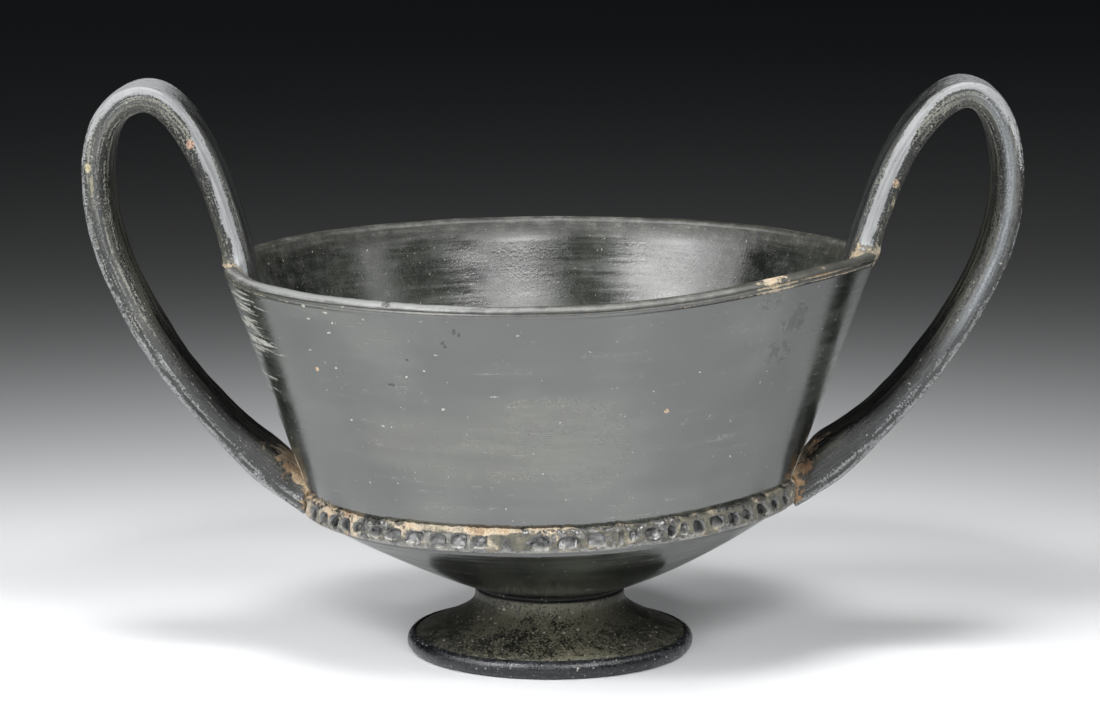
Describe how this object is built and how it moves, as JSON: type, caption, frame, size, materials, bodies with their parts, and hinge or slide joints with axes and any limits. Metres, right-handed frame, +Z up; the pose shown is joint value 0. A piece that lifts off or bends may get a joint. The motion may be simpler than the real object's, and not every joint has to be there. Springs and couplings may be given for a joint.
{
  "type": "kantharos",
  "caption": "Black burnished clay drinking cup with a flaring wall, a notched ridge over a shallow bowl, a short trumpet foot and tall looped strap handles.",
  "frame": {"origin": "centre of the surface that the foot rests on", "axes": "+Z up along the cup's axis, X along the line through both handles, -Y towards the side that the picture shows"},
  "size_m": [0.2174, 0.1524, 0.1354],
  "materials": {
    "bucchero": "burnished black clay, satin, with earth left in the cuts"
  },
  "bodies": {
    "root": {"kantharos": "bucchero"}
  },
  "joints": []
}
